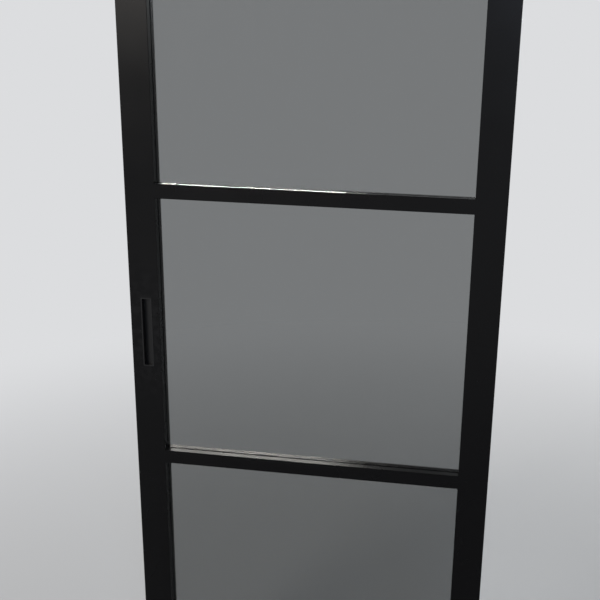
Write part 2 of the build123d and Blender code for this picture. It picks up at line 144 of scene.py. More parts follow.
class Graph:
    """The node tree of one material."""

    def __init__(self, name: str) -> None:
        """Starts an empty material with a name."""
        self.material = bpy.data.materials.new(name)
        self.material.use_nodes = True
        self.tree = self.material.node_tree
        self.tree.nodes.clear()

    def add(self, kind: str, inputs: dict | None = None, **settings) -> bpy.types.Node:
        """Adds a node with its settings and links.

        Args:
            kind: The node's type.
            inputs: Values or sockets, by input name or place.
            settings: The node's own properties.

        Returns:
            The new node.
        """
        node = self.tree.nodes.new(kind)
        for key, value in settings.items():
            setattr(node, key, value)
        for key, value in (inputs or {}).items():
            if isinstance(value, bpy.types.NodeSocket):
                self.tree.links.new(value, node.inputs[key])
            else:
                node.inputs[key].default_value = value
        return node


@dataclass(frozen=True)
class SprayedLacquer:
    """Black satin lacquer, sprayed in thin coats on a primed and sanded timber frame.

    The eye sees an almost black skin with a soft gloss, the shallow orange peel of the spray in it, and
    duller patches where fingers reach for the pull.
    """

    name: str = "sprayed_satin_lacquer"
    colour: str = "#080809"
    handled_colour: str = "#121213"
    roughness: float = 0.27
    drift: float = 0.04
    drift_mm: float = 160.0
    handled_dulling: float = 0.1
    handled_reach_mm: float = 130.0
    handled_squeeze: float = 0.6
    blotch_mm: float = 16.0
    blotch_from: float = 0.42
    blotch_to: float = 0.66
    peel_mm: float = 3.2
    peel_height_mm: float = 0.008
    ior: float = 1.5
    specular: float = 0.12

    def build(self) -> bpy.types.Material:
        """Makes the material."""
        graph = Graph(self.name)
        place = graph.add("ShaderNodeTexCoord").outputs["Object"]
        low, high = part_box("pull_front")
        middle = (low + high) / 2
        flat = graph.add("ShaderNodeVectorMath", {
            0: place, 1: (1.0, 0.0, self.handled_squeeze),
        }, operation="MULTIPLY")
        away = graph.add("ShaderNodeVectorMath", {
            0: flat.outputs["Vector"], 1: (middle.x, 0.0, middle.z * self.handled_squeeze),
        }, operation="DISTANCE")
        near = graph.add("ShaderNodeMapRange", {
            "Value": away.outputs["Value"], "From Min": 0.0, "From Max": self.handled_reach_mm * MM,
            "To Min": 1.0, "To Max": 0.0,
        }, interpolation_type="SMOOTHSTEP")
        blotch = graph.add("ShaderNodeTexNoise", {
            "Vector": place, "Scale": per_mm(self.blotch_mm), "Detail": 3.0,
        })
        patch = graph.add("ShaderNodeMapRange", {
            "Value": blotch.outputs["Fac"], "From Min": self.blotch_from, "From Max": self.blotch_to,
        })
        handled = graph.add("ShaderNodeMath", {
            0: near.outputs["Result"], 1: patch.outputs["Result"],
        }, operation="MULTIPLY")
        drift = graph.add("ShaderNodeTexNoise", {
            "Vector": place, "Scale": per_mm(self.drift_mm), "Detail": 2.0,
        })
        gloss = graph.add("ShaderNodeMapRange", {
            "Value": drift.outputs["Fac"], "From Min": NOISE_LOW, "From Max": NOISE_HIGH,
            "To Min": self.roughness - self.drift, "To Max": self.roughness + self.drift,
        })
        dulled = graph.add("ShaderNodeMath", {
            0: handled.outputs["Value"], 1: self.handled_dulling, 2: gloss.outputs["Result"],
        }, operation="MULTIPLY_ADD")
        tone = graph.add("ShaderNodeMix", {
            MIX_FACTOR: handled.outputs["Value"],
            MIX_FIRST: linear(self.colour), MIX_SECOND: linear(self.handled_colour),
        }, data_type="RGBA")
        peel = graph.add("ShaderNodeTexNoise", {
            "Vector": place, "Scale": per_mm(self.peel_mm), "Detail": 1.0,
        })
        bump = graph.add("ShaderNodeBump", {
            "Height": peel.outputs["Fac"], "Distance": self.peel_height_mm * MM,
        })
        shader = graph.add("ShaderNodeBsdfPrincipled", {
            "Base Color": tone.outputs[MIX_RESULT], "Roughness": dulled.outputs["Value"],
            "IOR": self.ior, "Specular IOR Level": self.specular, "Normal": bump.outputs["Normal"],
        })
        graph.add("ShaderNodeOutputMaterial", {"Surface": shader.outputs["BSDF"]})
        return graph.material


@dataclass(frozen=True)
class GreyFloatGlass:
    """Float glass with a neutral grey body tint, toughened on rollers.

    The tint darkens what is seen through it, the rollers leave a wave that only a reflection shows, and
    a dry cloth has left faint streaks that catch the lamps.
    """

    name: str = "grey_float_glass"
    through_tint: str = "#818383"
    face_tint: str = "#b6b8b8"
    wave_mm: float = 220.0
    wave_height_mm: float = 0.05
    streak_mm: float = 40.0
    streak_stretch: float = 0.15
    streak_lean: float = 0.5
    streak_from: float = 0.45
    streak_to: float = 0.75
    streak_film: float = 0.05
    film_roughness: float = 0.28
    ior: float = 1.52

    def build(self) -> bpy.types.Material:
        """Makes the material, clear to the rays that look for the lamps."""
        graph = Graph(self.name)
        place = graph.add("ShaderNodeTexCoord").outputs["Object"]
        wipe = graph.add("ShaderNodeMapping", {
            "Vector": place, "Rotation": (0.0, self.streak_lean, 0.0),
            "Scale": (1.0, 1.0, self.streak_stretch),
        })
        streak = graph.add("ShaderNodeTexNoise", {
            "Vector": wipe.outputs["Vector"], "Scale": per_mm(self.streak_mm),
            "Detail": 6.0, "Roughness": 0.7,
        })
        film = graph.add("ShaderNodeMapRange", {
            "Value": streak.outputs["Fac"], "From Min": self.streak_from, "From Max": self.streak_to,
            "To Max": self.streak_film,
        })
        wave = graph.add("ShaderNodeTexNoise", {
            "Vector": place, "Scale": per_mm(self.wave_mm), "Detail": 0.0,
        })
        bump = graph.add("ShaderNodeBump", {
            "Height": wave.outputs["Fac"], "Distance": self.wave_height_mm * MM,
        })
        glass = graph.add("ShaderNodeBsdfPrincipled", {
            "Base Color": linear(self.through_tint), "Roughness": 0.0, "IOR": self.ior,
            "Transmission Weight": 1.0, "Coat Weight": film.outputs["Result"],
            "Coat Roughness": self.film_roughness, "Normal": bump.outputs["Normal"],
        })
        clear = graph.add("ShaderNodeBsdfTransparent", {"Color": linear(self.face_tint)})
        rays = graph.add("ShaderNodeLightPath")
        mix = graph.add("ShaderNodeMixShader", {
            0: rays.outputs["Is Shadow Ray"], 1: glass.outputs["BSDF"], 2: clear.outputs["BSDF"],
        })
        graph.add("ShaderNodeOutputMaterial", {"Surface": mix.outputs["Shader"]})
        return graph.material


@dataclass(frozen=True)
class PowderCoat:
    """Black polyester powder, melted on to the metal in an oven.

    It flows into a fine, even, slightly pebbled skin, a little glossier on the crowns than in the dips,
    and its colour is painted lighter on the crowns and darker in the dips, as painted light and shade.
    """

    name: str
    colour: str = "#0b0b0c"
    # Painted light: the crowns of the pebble take this lighter colour, and the dips keep the darker
    # colour above as painted shade in the hollows.
    painted_lit_crown_colour: str = "#111112"
    roughness: float = 0.42
    pebble_mm: float = 1.1
    pebble_height_mm: float = 0.02
    pebble_low: float = 0.35
    pebble_high: float = 0.65
    crown_gloss: float = 0.06
    grain_mm: float = 0.35
    grain_share: float = 0.3
    ior: float = 1.5
    specular: float = 0.35

    def build(self) -> bpy.types.Material:
        """Makes the material."""
        graph = Graph(self.name)
        place = graph.add("ShaderNodeTexCoord").outputs["Object"]
        pebble = graph.add("ShaderNodeTexNoise", {
            "Vector": place, "Scale": per_mm(self.pebble_mm), "Detail": 1.5,
        })
        grain = graph.add("ShaderNodeTexNoise", {
            "Vector": place, "Scale": per_mm(self.grain_mm), "Detail": 1.0,
        })
        skin = graph.add("ShaderNodeMath", {
            0: grain.outputs["Fac"], 1: self.grain_share, 2: pebble.outputs["Fac"],
        }, operation="MULTIPLY_ADD")
        gloss = graph.add("ShaderNodeMapRange", {
            "Value": pebble.outputs["Fac"], "From Min": self.pebble_low, "From Max": self.pebble_high,
            "To Min": self.roughness + self.crown_gloss, "To Max": self.roughness - self.crown_gloss,
        })
        # Painted light and shade: a lighter colour on the pebble's crowns and a darker one in its dips,
        # following the bump's height.
        tone = graph.add("ShaderNodeMix", {
            MIX_FACTOR: pebble.outputs["Fac"],
            MIX_FIRST: linear(self.colour), MIX_SECOND: linear(self.painted_lit_crown_colour),
        }, data_type="RGBA")
        bump = graph.add("ShaderNodeBump", {
            "Height": skin.outputs["Value"], "Distance": self.pebble_height_mm * MM,
        })
        shader = graph.add("ShaderNodeBsdfPrincipled", {
            "Base Color": tone.outputs[MIX_RESULT], "Roughness": gloss.outputs["Result"],
            "IOR": self.ior, "Specular IOR Level": self.specular, "Normal": bump.outputs["Normal"],
        })
        graph.add("ShaderNodeOutputMaterial", {"Surface": shader.outputs["BSDF"]})
        return graph.material


@dataclass(frozen=True)
class MouldedNylon:
    """Nylon, injected into a spark-eroded mould.

    The mould leaves a fine matt grain, and the melt leaves broad, faint flow marks in the tone.
    """

    name: str
    colour: str
    flow_colour: str
    roughness: float = 0.56
    drift: float = 0.025
    grain_mm: float = 0.4
    grain_height_mm: float = 0.02
    flow_mm: float = 14.0
    ior: float = 1.53
    specular: float = 0.3

    def build(self) -> bpy.types.Material:
        """Makes the material."""
        graph = Graph(self.name)
        place = graph.add("ShaderNodeTexCoord").outputs["Object"]
        flow = graph.add("ShaderNodeTexNoise", {
            "Vector": place, "Scale": per_mm(self.flow_mm), "Detail": 2.0, "Distortion": 1.5,
        })
        tone = graph.add("ShaderNodeMix", {
            MIX_FACTOR: flow.outputs["Fac"],
            MIX_FIRST: linear(self.colour), MIX_SECOND: linear(self.flow_colour),
        }, data_type="RGBA")
        gloss = graph.add("ShaderNodeMapRange", {
            "Value": flow.outputs["Fac"], "From Min": NOISE_LOW, "From Max": NOISE_HIGH,
            "To Min": self.roughness - self.drift, "To Max": self.roughness + self.drift,
        })
        grain = graph.add("ShaderNodeTexNoise", {
            "Vector": place, "Scale": per_mm(self.grain_mm), "Detail": 2.0,
        })
        bump = graph.add("ShaderNodeBump", {
            "Height": grain.outputs["Fac"], "Distance": self.grain_height_mm * MM,
        })
        shader = graph.add("ShaderNodeBsdfPrincipled", {
            "Base Color": tone.outputs[MIX_RESULT], "Roughness": gloss.outputs["Result"],
            "IOR": self.ior, "Specular IOR Level": self.specular, "Normal": bump.outputs["Normal"],
        })
        graph.add("ShaderNodeOutputMaterial", {"Surface": shader.outputs["BSDF"]})
        return graph.material


@dataclass(frozen=True)
class MouldedRubber:
    """Carbon-filled rubber, cured in a steel mould.

    It is dull and deep grey, with a paler bloom that wax leaves in clouds on its surface.
    """

    name: str
    colour: str = "#101010"
    bloom_colour: str = "#262625"
    roughness: float = 0.72
    bloom_mm: float = 9.0
    bloom_from: float = 0.45
    bloom_to: float = 0.75
    bloom_share: float = 0.8
    bare_gloss: float = 0.08
    bloom_dulling: float = 0.1
    grain_mm: float = 0.5
    grain_height_mm: float = 0.03
    ior: float = 1.52

    def build(self) -> bpy.types.Material:
        """Makes the material."""
        graph = Graph(self.name)
        place = graph.add("ShaderNodeTexCoord").outputs["Object"]
        bloom = graph.add("ShaderNodeTexNoise", {
            "Vector": place, "Scale": per_mm(self.bloom_mm), "Detail": 5.0,
        })
        cloud = graph.add("ShaderNodeMapRange", {
            "Value": bloom.outputs["Fac"], "From Min": self.bloom_from, "From Max": self.bloom_to,
            "To Max": self.bloom_share,
        })
        tone = graph.add("ShaderNodeMix", {
            MIX_FACTOR: cloud.outputs["Result"],
            MIX_FIRST: linear(self.colour), MIX_SECOND: linear(self.bloom_colour),
        }, data_type="RGBA")
        gloss = graph.add("ShaderNodeMapRange", {
            "Value": cloud.outputs["Result"],
            "To Min": self.roughness - self.bare_gloss, "To Max": self.roughness + self.bloom_dulling,
        })
        grain = graph.add("ShaderNodeTexNoise", {
            "Vector": place, "Scale": per_mm(self.grain_mm), "Detail": 2.0,
        })
        bump = graph.add("ShaderNodeBump", {
            "Height": grain.outputs["Fac"], "Distance": self.grain_height_mm * MM,
        })
        shader = graph.add("ShaderNodeBsdfPrincipled", {
            "Base Color": tone.outputs[MIX_RESULT], "Roughness": gloss.outputs["Result"],
            "IOR": self.ior, "Normal": bump.outputs["Normal"],
        })
        graph.add("ShaderNodeOutputMaterial", {"Surface": shader.outputs["BSDF"]})
        return graph.material


@dataclass(frozen=True)
class FoamTape:
    """Closed-cell glazing foam, slit from a roll, so its edge shows cut cells and hardly any gloss."""

    name: str = "slit_foam_tape"
    colour: str = "#0d0d0d"
    # Painted shade: the hollows of the cut cells take the darker colour above, and their walls take this
    # lighter one.
    painted_lit_cell_wall_colour: str = "#1c1c1c"
    cell_mm: float = 0.5
    cell_depth_mm: float = 0.12
    cell_roughness: float = 0.85
    wall_roughness: float = 0.95
    ior: float = 1.45
    specular: float = 0.3

    def build(self) -> bpy.types.Material:
        """Makes the material."""
        graph = Graph(self.name)
        place = graph.add("ShaderNodeTexCoord").outputs["Object"]
        cells = graph.add("ShaderNodeTexVoronoi", {"Vector": place, "Scale": per_mm(self.cell_mm)})
        # Painted shade in the cell hollows: the colour darkens towards each cell's middle, where the
        # bump sinks.
        tone = graph.add("ShaderNodeMix", {
            MIX_FACTOR: cells.outputs["Distance"],
            MIX_FIRST: linear(self.colour), MIX_SECOND: linear(self.painted_lit_cell_wall_colour),
        }, data_type="RGBA")
        gloss = graph.add("ShaderNodeMapRange", {
            "Value": cells.outputs["Distance"],
            "To Min": self.cell_roughness, "To Max": self.wall_roughness,
        })
        bump = graph.add("ShaderNodeBump", {
            "Height": cells.outputs["Distance"], "Distance": self.cell_depth_mm * MM,
        })
        shader = graph.add("ShaderNodeBsdfPrincipled", {
            "Base Color": tone.outputs[MIX_RESULT], "Roughness": gloss.outputs["Result"],
            "IOR": self.ior, "Specular IOR Level": self.specular, "Normal": bump.outputs["Normal"],
        })
        graph.add("ShaderNodeOutputMaterial", {"Surface": shader.outputs["BSDF"]})
        return graph.material


@dataclass(frozen=True)
class DieCastZinc:
    """Zinc, shot into a steel die and tumbled.

    The tumbling leaves a fine satin, with duller clouds where the metal chilled first.
    """

    name: str = "die_cast_zinc"
    colour: str = "#a2a4a6"
    chilled_colour: str = "#86888b"
    roughness: float = 0.4
    tumbled_gloss: float = 0.06
    chilled_dulling: float = 0.1
    cloud_mm: float = 7.0
    grain_mm: float = 0.6
    grain_height_mm: float = 0.02

    def build(self) -> bpy.types.Material:
        """Makes the material."""
        graph = Graph(self.name)
        place = graph.add("ShaderNodeTexCoord").outputs["Object"]
        cloud = graph.add("ShaderNodeTexNoise", {
            "Vector": place, "Scale": per_mm(self.cloud_mm), "Detail": 4.0, "Distortion": 0.8,
        })
        tone = graph.add("ShaderNodeMix", {
            MIX_FACTOR: cloud.outputs["Fac"],
            MIX_FIRST: linear(self.colour), MIX_SECOND: linear(self.chilled_colour),
        }, data_type="RGBA")
        gloss = graph.add("ShaderNodeMapRange", {
            "Value": cloud.outputs["Fac"], "From Min": NOISE_LOW, "From Max": NOISE_HIGH,
            "To Min": self.roughness - self.tumbled_gloss,
            "To Max": self.roughness + self.chilled_dulling,
        })
        grain = graph.add("ShaderNodeTexNoise", {
            "Vector": place, "Scale": per_mm(self.grain_mm), "Detail": 2.0,
        })
        bump = graph.add("ShaderNodeBump", {
            "Height": grain.outputs["Fac"], "Distance": self.grain_height_mm * MM,
        })
        shader = graph.add("ShaderNodeBsdfPrincipled", {
            "Base Color": tone.outputs[MIX_RESULT], "Roughness": gloss.outputs["Result"],
            "Metallic": 1.0, "Normal": bump.outputs["Normal"],
        })
        graph.add("ShaderNodeOutputMaterial", {"Surface": shader.outputs["BSDF"]})
        return graph.material


@dataclass(frozen=True)
class ZincPlatedSteel:
    """Pressed and turned steel with bright zinc plate, passivated.

    The passivation gives a faint change between a bluish and a straw tone, and barrel plating leaves
    small soft scuffs.
    """

    name: str = "zinc_plated_steel"
    blue_tone: str = "#b4bac2"
    straw_tone: str = "#bcb8aa"
    roughness: float = 0.28
    tone_mm: float = 11.0
    scuff_mm: float = 1.6
    scuff_from: float = 0.4
    scuff_to: float = 0.7
    scuff_dulling: float = 0.16
    scuff_height_mm: float = 0.01

    def build(self) -> bpy.types.Material:
        """Makes the material."""
        graph = Graph(self.name)
        place = graph.add("ShaderNodeTexCoord").outputs["Object"]
        hue = graph.add("ShaderNodeTexNoise", {
            "Vector": place, "Scale": per_mm(self.tone_mm), "Detail": 3.0, "Distortion": 1.0,
        })
        tone = graph.add("ShaderNodeMix", {
            MIX_FACTOR: hue.outputs["Fac"],
            MIX_FIRST: linear(self.blue_tone), MIX_SECOND: linear(self.straw_tone),
        }, data_type="RGBA")
        scuff = graph.add("ShaderNodeTexNoise", {
            "Vector": place, "Scale": per_mm(self.scuff_mm), "Detail": 4.0, "Roughness": 0.65,
        })
        gloss = graph.add("ShaderNodeMapRange", {
            "Value": scuff.outputs["Fac"], "From Min": self.scuff_from, "From Max": self.scuff_to,
            "To Min": self.roughness, "To Max": self.roughness + self.scuff_dulling,
        })
        bump = graph.add("ShaderNodeBump", {
            "Height": scuff.outputs["Fac"], "Distance": self.scuff_height_mm * MM,
        })
        shader = graph.add("ShaderNodeBsdfPrincipled", {
            "Base Color": tone.outputs[MIX_RESULT], "Roughness": gloss.outputs["Result"],
            "Metallic": 1.0, "Normal": bump.outputs["Normal"],
        })
        graph.add("ShaderNodeOutputMaterial", {"Surface": shader.outputs["BSDF"]})
        return graph.material


class Slot(Enum):
    """The record's material slots."""

    LACQUER = "black_lacquer"
    GLASS = "grey_glass"
    TAPE = "glazing_tape"
    SETTING_BLOCK = "setting_block"
    PULL = "black_pull"
    ALUMINIUM = "coated_aluminium"
    BLACK_NYLON = "black_nylon"
    BUFFER = "buffer_rubber"
    WHEEL = "wheel_nylon"
    CASTING = "cast_zinc"
    STEEL = "zinc_steel"


FINISHES = {
    Slot.LACQUER: SprayedLacquer(),
    Slot.GLASS: GreyFloatGlass(),
    Slot.TAPE: FoamTape(),
    Slot.SETTING_BLOCK: MouldedRubber("moulded_setting_rubber"),
    Slot.PULL: PowderCoat("powder_coated_zinc", roughness=0.36, pebble_height_mm=0.012, specular=0.27),
    Slot.ALUMINIUM: PowderCoat("powder_coated_aluminium"),
    Slot.BLACK_NYLON: MouldedNylon("moulded_black_nylon", "#0f0f10", "#171718"),
    Slot.BUFFER: MouldedRubber("moulded_buffer_rubber", bloom_colour="#2b2a28"),
    Slot.WHEEL: MouldedNylon("moulded_natural_nylon", "#d2cfc4", "#c3beae", roughness=0.4),
    Slot.CASTING: DieCastZinc(),
    Slot.STEEL: ZincPlatedSteel(),
}


class Workshop:
    """Keeps the finishes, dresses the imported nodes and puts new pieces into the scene."""

    def __init__(self) -> None:
        """Starts with no finish made."""
        self.shelf: dict[Slot, bpy.types.Material] = {}

    def finish(self, slot: Slot) -> bpy.types.Material:
        """The material of a slot, made when it is first asked for."""
        if slot not in self.shelf:
            self.shelf[slot] = FINISHES[slot].build()
        return self.shelf[slot]

    def dress(self, slot: Slot, *starts: str) -> None:
        """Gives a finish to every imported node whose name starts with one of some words.

        Args:
            slot: The finish to give.
            starts: The starts of the nodes' names.
        """
        for name, piece in frame["nodes"].items():
            if name.startswith(starts):
                piece.data.materials.clear()
                piece.data.materials.append(self.finish(slot))
                log.info("dressed %s in %s", name, FINISHES[slot].name)

    def place(self, name: str, form: bmesh.types.BMesh, slot: Slot, member: Member) -> bpy.types.Object:
        """Turns a finished form into a piece that moves with a body.

        Args:
            name: The piece's name.
            form: The form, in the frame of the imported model. It is freed.
            slot: The finish to give.
            member: The body that carries the piece.

        Returns:
            The new object.
        """
        bmesh.ops.recalc_face_normals(form, faces=form.faces)
        mesh = bpy.data.meshes.new(name)
        form.to_mesh(mesh)
        form.free()
        mesh.shade_smooth()
        mesh.set_sharp_from_angle(angle=SHARP_ANGLE)
        mesh.materials.append(self.finish(slot))
        piece = bpy.data.objects.new(name, mesh)
        bpy.context.scene.collection.objects.link(piece)
        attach(piece, member.value)
        log.info("made %s, %d faces, riding on %s", name, len(mesh.polygons), member.value)
        return piece


@dataclass(frozen=True)
class Ring:
    """One ring of a lofted fastener: its widest radius and its height, in millimetres."""

    radius: float
    height: float
    outline: Outline = Outline.ROUND


def loft(form: bmesh.types.BMesh, rings: list[Ring], at: Matrix, segments: int = 48) -> None:
    """Bridges rings into one closed form and sets it in its place.

    Args:
        form: The mesh that the form joins.
        rings: The rings, from one end to the other along Z.
        at: Where the form goes.
        segments: The points of each ring.
    """
    loops = []
    for ring in rings:
        verts = bmesh.ops.create_circle(form, cap_ends=False, radius=1.0, segments=segments)["verts"]
        for vert in verts:
            angle = math.atan2(vert.co.y, vert.co.x) % (2 * math.pi)
            reach = ring.radius * MM * ring.outline.reach(angle)
            vert.co = Vector((vert.co.x * reach, vert.co.y * reach, ring.height * MM))
        loops.append(verts)
    edges = [list({edge for vert in verts for edge in vert.link_edges}) for verts in loops]
    for lower, upper in zip(edges, edges[1:]):
        bmesh.ops.bridge_loops(form, edges=lower + upper)
    for end in (edges[0], edges[-1]):
        bmesh.ops.contextual_create(form, geom=end)
    bmesh.ops.transform(form, matrix=at, verts=[vert for verts in loops for vert in verts])


def at_point(point: Vector) -> Matrix:
    """A move to a point, in metres."""
    return Matrix.Translation(point)


@dataclass(frozen=True)
class Thread:
    """A rolled thread along Z: its crest and root radii and its pitch, in millimetres.

    The flat of the crest begins and ends at shares of the pitch.
    """

    crest: float
    root: float
    pitch: float
    crest_from: float = 0.42
    crest_to: float = 0.58
    steps: int = 24

    def wind(self, form: bmesh.types.BMesh, axis: Vector, bottom: float, top: float) -> None:
        """Winds one turn of the thread up its axis and cuts it flat at both ends.

        Args:
            form: The mesh that the thread joins.
            axis: A point on the axis, in metres.
            bottom: The height of the lower end, in metres.
            top: The height of the upper end, in metres.
        """
        wound = bmesh.new()
        pitch, root, crest = self.pitch * MM, self.root * MM, self.crest * MM
        turns = math.ceil((top - bottom) / pitch) + 2
        profile = [
            wound.verts.new((reach, 0.0, bottom - pitch + share * pitch))
            for reach, share in (
                (root, 0.0), (crest, self.crest_from), (crest, self.crest_to), (root, 1.0),
            )
        ]
        edges = [wound.edges.new(pair) for pair in zip(profile, profile[1:])]
        bmesh.ops.spin(
            wound, geom=profile + edges, cent=(0, 0, 0), axis=(0, 0, 1), angle=2 * math.pi * turns,
            steps=self.steps * turns, dvec=(0, 0, pitch / self.steps), use_merge=False,
        )
        bmesh.ops.remove_doubles(wound, verts=wound.verts, dist=THREAD_MERGE)
        for height, up in ((bottom, -1), (top, 1)):
            bmesh.ops.bisect_plane(
                wound, geom=wound.verts[:] + wound.edges[:] + wound.faces[:], dist=CUT_MARGIN,
                plane_co=(0, 0, height), plane_no=(0, 0, up), clear_outer=True,
            )
        bmesh.ops.holes_fill(wound, edges=[edge for edge in wound.edges if edge.is_boundary], sides=0)
        bmesh.ops.translate(wound, vec=axis, verts=wound.verts)
        mesh = bpy.data.meshes.new("wound_thread")
        wound.to_mesh(mesh)
        wound.free()
        form.from_mesh(mesh)
        bpy.data.meshes.remove(mesh)


@dataclass
class LeafFrame:
    """The lacquered frame of the leaf, with its beads, their pins and its pulls.

    The shoulder and the crown of a pin's filled head are shares of its radius and of its rise.
    """

    shop: Workshop
    pin_radius: float = 1.3
    pin_rise: float = 0.15
    pin_depth: float = 0.6
    pin_segments: int = 12
    shoulder_radius: float = 0.8
    shoulder_rise: float = 0.7
    crown_radius: float = 0.35
    pin_spacing: float = 150.0
    pin_end_inset: float = 35.0

    def build(self) -> None:
        """Dresses the frame and adds the pins."""
        self.shop.dress(Slot.LACQUER, *LACQUERED)
        self.shop.dress(Slot.PULL, "pull_")
        self.make_pins()

    def make_pins(self) -> None:
        """The filled and lacquered heads of the pins that hold the beads, in rows along each bead."""
        form = bmesh.new()
        rings = [
            Ring(self.pin_radius, -self.pin_depth),
            Ring(self.pin_radius, 0.0),
            Ring(self.pin_radius * self.shoulder_radius, self.pin_rise * self.shoulder_rise),
            Ring(self.pin_radius * self.crown_radius, self.pin_rise),
        ]
        face_back = Matrix.Rotation(-math.pi / 2, 4, "X")
        for name in frame["nodes"]:
            if name.startswith("bead_"):
                for point in self.pin_places(*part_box(name)):
                    loft(form, rings, at_point(point) @ face_back, segments=self.pin_segments)
        self.shop.place("bead_pins", form, Slot.LACQUER, Member.LEAF)

    def pin_places(self, low: Vector, high: Vector) -> list[Vector]:
        """The places of the pins of one bead, evenly spaced along its back.

        Args:
            low: The bead's lowest corner.
            high: The bead's highest corner.

        Returns:
            The points, on the bead's back face.
        """
        middle = (low + high) / 2
        along = Vector((1, 0, 0)) if high.x - low.x > high.z - low.z else Vector((0, 0, 1))
        run = (high - low).dot(along) - 2 * self.pin_end_inset * MM
        gaps = math.ceil(run / (self.pin_spacing * MM))
        start = Vector((middle.x, high.y, middle.z)) - along * run / 2
        return [start + along * run * step / gaps for step in range(gaps + 1)]


@dataclass
class Glazing:
    """The panes, with the tape that beds them and the blocks that carry them."""

    shop: Workshop

    def build(self) -> None:
        """Dresses the glazing."""
        self.shop.dress(Slot.GLASS, "pane_")
        self.shop.dress(Slot.TAPE, "tape_")
        self.shop.dress(Slot.SETTING_BLOCK, "setting_blocks")


@dataclass
class HangingGear:
    """The brackets on the leaf, the threaded bolts, and the carriages that run in the track."""

    shop: Workshop
    bolt_thread: Thread = Thread(crest=4.0, root=3.4, pitch=1.25)
    head_radius: float = 6.5
    head_height: float = 5.0
    head_chamfer: float = 0.6
    socket_flats: float = 5.0
    socket_depth: float = 3.0
    socket_chamfer: float = 0.25
    socket_flare: float = 0.3
    screw_places: tuple[float, ...] = (-44.0, -24.0, 24.0, 44.0)
    screw_turn: float = math.radians(17)
    screw_head_radius: float = 4.3
    screw_head_edge: float = 0.25
    screw_shank_radius: float = 2.1
    screw_length: float = 22.0
    screw_straight: float = 0.8
    screw_point_radius: float = 0.3
    screw_below_face: float = 0.25
    recess_radius: float = 2.0
    recess_taper: float = 0.9
    recess_depth: float = 1.5

    def build(self) -> None:
        """Dresses the gear, and adds its bolts and its screws."""
        self.shop.dress(Slot.STEEL, "hanger_bracket_", "lock_nut_", "axle_")
        self.shop.dress(Slot.CASTING, "carriage_")
        self.shop.dress(Slot.WHEEL, "wheel_")
        for side in ("left", "right"):
            self.make_bolt(side)
            self.make_screws(side)

    def make_bolt(self, side: str) -> None:
        """The bolt that hangs the leaf: a socket head on a rolled thread.

        Args:
            side: The side of the leaf that it hangs.
        """
        low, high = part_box(f"hanger_bolt_{side}")
        axis = Vector(((low.x + high.x) / 2, (low.y + high.y) / 2, 0.0))
        top = high.z / MM
        under = top - self.head_height
        corner = self.socket_flats / 2 / math.cos(math.pi / 6)
        form = bmesh.new()
        loft(form, [
            Ring(corner, top - self.socket_depth, Outline.HEXAGON),
            Ring(corner, top - self.socket_chamfer, Outline.HEXAGON),
            Ring(corner + self.socket_flare, top, Outline.HEXAGON),
            Ring(self.head_radius - self.head_chamfer, top),
            Ring(self.head_radius, top - self.head_chamfer),
            Ring(self.head_radius, under),
            Ring(self.bolt_thread.root, under),
        ], at_point(axis))
        self.bolt_thread.wind(form, axis, low.z, under * MM)
        bolt = self.shop.place(f"hanger_bolt_{side}_threaded", form, Slot.STEEL, Member.LEAF)
        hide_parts(f"hanger_bolt_{side}")

    def make_screws(self, side: str) -> None:
        """The countersunk wood screws with a six-lobe recess that hold one bracket.

        Args:
            side: The side of the leaf that the bracket is on.
        """
        low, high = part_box(f"hanger_bracket_{side}")
        middle = (low + high) / 2
        cone = self.screw_head_radius - self.screw_shank_radius
        form = bmesh.new()
        for number, place in enumerate(self.screw_places):
            turned = Matrix.Rotation(self.screw_turn * number, 4, "Z")
            point = Vector((middle.x + place * MM, middle.y, high.z - self.screw_below_face * MM))
            loft(form, [
                Ring(self.recess_radius * self.recess_taper, -self.recess_depth, Outline.SIX_LOBE),
                Ring(self.recess_radius, 0.0, Outline.SIX_LOBE),
                Ring(self.screw_head_radius, 0.0),
                Ring(self.screw_head_radius, -self.screw_head_edge),
                Ring(self.screw_shank_radius, -self.screw_head_edge - cone),
                Ring(self.screw_shank_radius, -self.screw_length * self.screw_straight),
                Ring(self.screw_point_radius, -self.screw_length),
            ], at_point(point) @ turned)
        self.shop.place(f"bracket_screws_{side}", form, Slot.STEEL, Member.LEAF)


